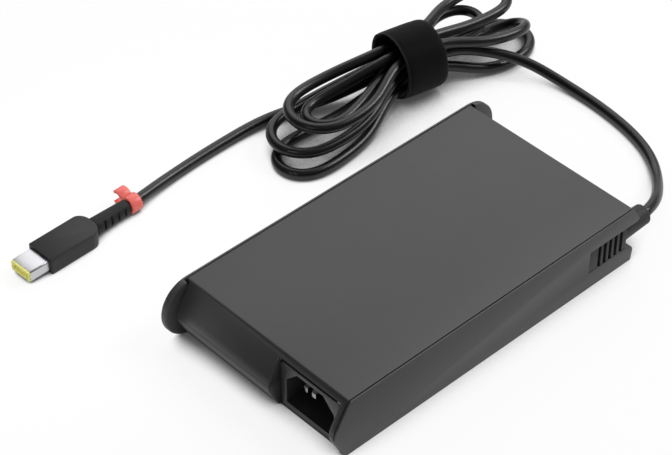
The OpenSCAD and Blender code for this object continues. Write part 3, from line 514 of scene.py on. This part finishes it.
def strap_mesh():
    """One ribbon wound about 1.7 times round, with soft edges, slight dents and waviness."""
    rng = random.Random(7)
    waves = [(rng.uniform(2, 7), rng.uniform(0, 6.28), rng.uniform(0.05, 0.12)) for _ in range(5)]
    dents = [(rng.uniform(3, 11), rng.uniform(0, 6.28), rng.uniform(0.04, 0.09)) for _ in range(6)]
    start, end = STRAP_OVERLAP[0] - 360 + INNER_SHORT, STRAP_OVERLAP[1]
    steps, across = STRAP_STEPS, STRAP_CELLS
    half_t = STRAP_T / 2 - LAYER_SLACK
    # outline of the ribbon's section: share of the width, and height over its middle
    outline = [(-1 + 2 * k / across, half_t) for k in range(across + 1)]
    outline += [(-x, -y) for x, y in outline]
    verts, faces = [], []
    n = len(outline)
    for i in range(steps + 1):
        deg = mix(start, end, i / steps)
        a = math.radians(deg)
        layer = min(1.0, max(0.0, (deg - (STRAP_OVERLAP[0] - CLIMB_BEFORE)) / CLIMB_LENGTH))
        layer = layer * layer * (3 - 2 * layer)
        sway = sum(h * math.sin(f * a + p) for f, p, h in waves) * SWAY_SHARE
        for share, y in outline:
            edge = abs(share) ** 10
            dent = sum(h * math.sin(f * a + p + 1.3 * share) for f, p, h in dents)
            inset = (1.5 - layer) * STRAP_T - y * (1 - EDGE_THINNING * edge) + (
                EDGE_DROP * abs(share) ** 5) + DENT_SHARE * dent * (1 - edge)
            k = (share + 1) / 2 + sway
            p = rim_point(-1, deg, inset).lerp(rim_point(1, deg, inset), k)
            p.z = max(p.z, FLOOR_GAP)
            verts.append(p * MM)
    for i in range(steps):
        for k in range(n):
            m = (k + 1) % n
            faces.append((i * n + k, (i + 1) * n + k, (i + 1) * n + m, i * n + m))
    faces.append(tuple(range(n)))
    faces.append(tuple(steps * n + k for k in range(n - 1, -1, -1)))
    obj = new_object("hook_and_loop_strap", verts, faces)
    for name in ("strap", "strap_rim_highlight"):
        obj.data.materials.append(MATERIALS[name])
    # both edge faces of the ribbon, and the outermost cell on each side of the left edge, take a
    # lighter grey: a painted highlight along the rim
    rim_highlight_faces = (0, across, 2 * across, 2 * across + 1)
    for i in range(steps):
        for k in rim_highlight_faces:
            obj.data.polygons[i * n + k].material_index = 1
    return obj


strap = strap_mesh()
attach(strap, "case")
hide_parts("cord_strap")


# ---- floor, lamps and world -----------------------------------------------------------------------
# the floor's half side in metres, its lit grey, and its strength of white and share of lit surface
FLOOR_HALF, FLOOR_GREY = 6.0, 0.8
FLOOR_WHITE, FLOOR_LIT_SHARE = 1.06, 0.16
# contact shade: how near a piece counts, in metres, how open the floor is at each end, and its darkest
SHADE_REACH, SHADE_OPENNESS, SHADE_DARKEST = 0.05, (0.3, 0.6), 0.06
# the world is dimmer on the side away from the lamps, as beside a black card
AMBIENT_X, AMBIENT_LEVEL = (-0.8, 0.4), (0.08, 0.25)


def white_for_camera(material, lit_socket, lit_share, strength):
    """White to the camera and in reflections, dimmed close under a piece, with some lit surface."""
    nodes, links = material.node_tree.nodes, material.node_tree.links
    path = nodes.new("ShaderNodeLightPath")
    seen = path.outputs["Is Camera Ray"]
    for name in ("Is Glossy Ray", "Is Transmission Ray"):
        both = nodes.new("ShaderNodeMath")
        both.operation = "MAXIMUM"
        links.new(seen, both.inputs[0])
        links.new(path.outputs[name], both.inputs[1])
        seen = both.outputs[0]
    share = nodes.new("ShaderNodeMath")
    share.operation = "MULTIPLY"
    share.inputs[1].default_value = 1 - lit_share
    links.new(seen, share.inputs[0])
    white = nodes.new("ShaderNodeEmission")
    shade = nodes.new("ShaderNodeAmbientOcclusion")
    shade.inputs["Distance"].default_value = SHADE_REACH
    shade.samples = 16
    level = map_range(material.node_tree, shade.outputs["AO"], SHADE_OPENNESS,
                      (SHADE_DARKEST, strength))
    links.new(level, white.inputs["Strength"])
    blend = nodes.new("ShaderNodeMixShader")
    links.new(share.outputs[0], blend.inputs[0])
    links.new(lit_socket, blend.inputs[1])
    links.new(white.outputs[0], blend.inputs[2])
    links.new(blend.outputs[0], nodes["Material Output"].inputs["Surface"])


def make_floor():
    size = FLOOR_HALF
    floor = new_object("floor", [(-size, -size, 0), (size, -size, 0), (size, size, 0),
                                 (-size, size, 0)], [(0, 1, 2, 3)], smooth=False)
    mat = bpy.data.materials.new("floor_white")
    mat.use_nodes = True
    bsdf = mat.node_tree.nodes["Principled BSDF"]
    bsdf.inputs["Base Color"].default_value = (FLOOR_GREY, FLOOR_GREY, FLOOR_GREY, 1)
    bsdf.inputs["Roughness"].default_value = 0.9
    white_for_camera(mat, bsdf.outputs[0], FLOOR_LIT_SHARE, FLOOR_WHITE)
    floor.data.materials.append(mat)


def aim(name, data, place, target):
    """Sets a lamp at a place and turns it towards its target."""
    obj = bpy.data.objects.new(name, data)
    bpy.context.scene.collection.objects.link(obj)
    place, target = Vector(place), Vector(target)
    obj.matrix_world = Matrix.Translation(place) @ (place - target).to_track_quat(
        "Z", "Y").to_matrix().to_4x4()


def lamp(name, place, target, size, power):
    """A rectangular soft lamp."""
    data = bpy.data.lights.new(name, "AREA")
    data.shape = "RECTANGLE"
    data.size, data.size_y = size
    data.energy = power
    aim(name, data, place, target)


def snoot(name, place, target, angle, power):
    """A narrow soft-edged lamp, for one small place."""
    data = bpy.data.lights.new(name, "SPOT")
    data.spot_size, data.spot_blend = math.radians(angle), 1.0
    data.shadow_soft_size = 0.08
    data.energy = power
    aim(name, data, place, target)


def make_world():
    world = bpy.data.worlds.new("studio")
    world.use_nodes = True
    bpy.context.scene.world = world
    nodes, links = world.node_tree.nodes, world.node_tree.links
    ambient = nodes["Background"]
    ambient.inputs["Color"].default_value = (1, 1, 1, 1)
    way = nodes.new("ShaderNodeSeparateXYZ")
    links.new(nodes.new("ShaderNodeTexCoord").outputs["Generated"], way.inputs["Vector"])
    level = map_range(world.node_tree, way.outputs["X"], AMBIENT_X, AMBIENT_LEVEL)
    links.new(level, ambient.inputs["Strength"])
    seen = nodes.new("ShaderNodeBackground")
    path = nodes.new("ShaderNodeLightPath")
    blend = nodes.new("ShaderNodeMixShader")
    links.new(path.outputs["Is Camera Ray"], blend.inputs[0])
    links.new(ambient.outputs[0], blend.inputs[1])
    links.new(seen.outputs[0], blend.inputs[2])
    links.new(blend.outputs[0], nodes["World Output"].inputs["Surface"])


make_floor()
# places and sizes in metres, the snoot's angle in degrees, power in watts
lamp("softbox", (1.02, 1.13, 1.33), (0, 0.04, 0), (2.0, 2.0), 19)
lamp("key", (1.3, -0.55, 1.4), (0, 0.04, 0), (0.8, 0.8), 20)
snoot("snoot", (-0.6, -0.02, 0.5), (-0.098, 0.107, 0.004), 11, 16)
make_world()
bpy.context.scene.view_settings.view_transform = "Standard"
